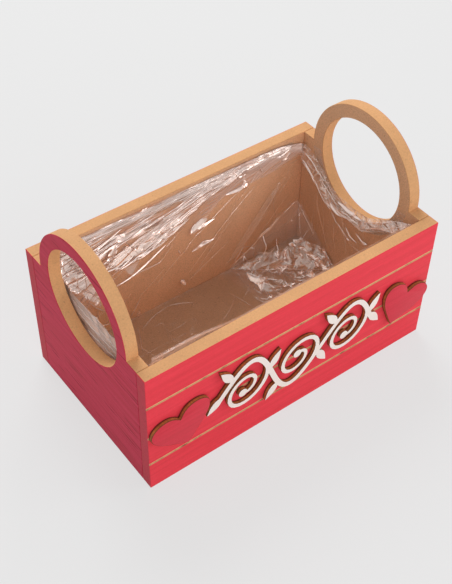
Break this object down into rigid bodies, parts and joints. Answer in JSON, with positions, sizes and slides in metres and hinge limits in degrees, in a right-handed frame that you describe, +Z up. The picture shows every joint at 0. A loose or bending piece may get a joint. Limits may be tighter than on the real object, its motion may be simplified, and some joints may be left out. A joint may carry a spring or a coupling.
{
  "type": "wooden gift box with ring handles",
  "caption": "Open rectangular board box with a ring handle cut in each end, engraved lines, glued-on hearts and scrollwork on the front, and a clear film liner.",
  "frame": {"origin": "middle of the underside of the box, on the surface that it stands on", "axes": "+X along the front from left to right, +Y from front to back, +Z up"},
  "size_m": [0.25, 0.1503, 0.1671],
  "materials": {
    "front_stain": "red stain over raw board, satin",
    "back_stain": "red stain over raw board, satin",
    "left_stain": "red stain over raw board, satin",
    "right_stain": "red stain over raw board, satin",
    "raw_board": "raw fibreboard, matt",
    "pin_steel": "plain wire",
    "clear_film": "clear, creased",
    "clear_glue": "clear, crackled",
    "heart_stain": "red stain, cut edges scorched brown",
    "white_paint": "white paint, cut edges scorched brown"
  },
  "bodies": {
    "root": {"front_panel": "front_stain", "back_panel": "back_stain", "left_end_panel": "left_stain", "right_end_panel": "right_stain", "bottom_panel": "raw_board", "front_left_pin_1": "pin_steel", "front_left_pin_2": "pin_steel", "front_left_pin_3": "pin_steel", "front_right_pin_1": "pin_steel", "front_right_pin_2": "pin_steel", "front_right_pin_3": "pin_steel", "back_left_pin_1": "pin_steel", "back_left_pin_2": "pin_steel", "back_left_pin_3": "pin_steel", "back_right_pin_1": "pin_steel", "back_right_pin_2": "pin_steel", "back_right_pin_3": "pin_steel", "film_liner": "clear_film", "liner_glue_front": "clear_glue", "liner_glue_back": "clear_glue", "liner_glue_left": "clear_glue", "liner_glue_right": "clear_glue", "left_heart": "heart_stain", "right_heart": "heart_stain", "scroll_ornament": "white_paint"}
  },
  "joints": []
}
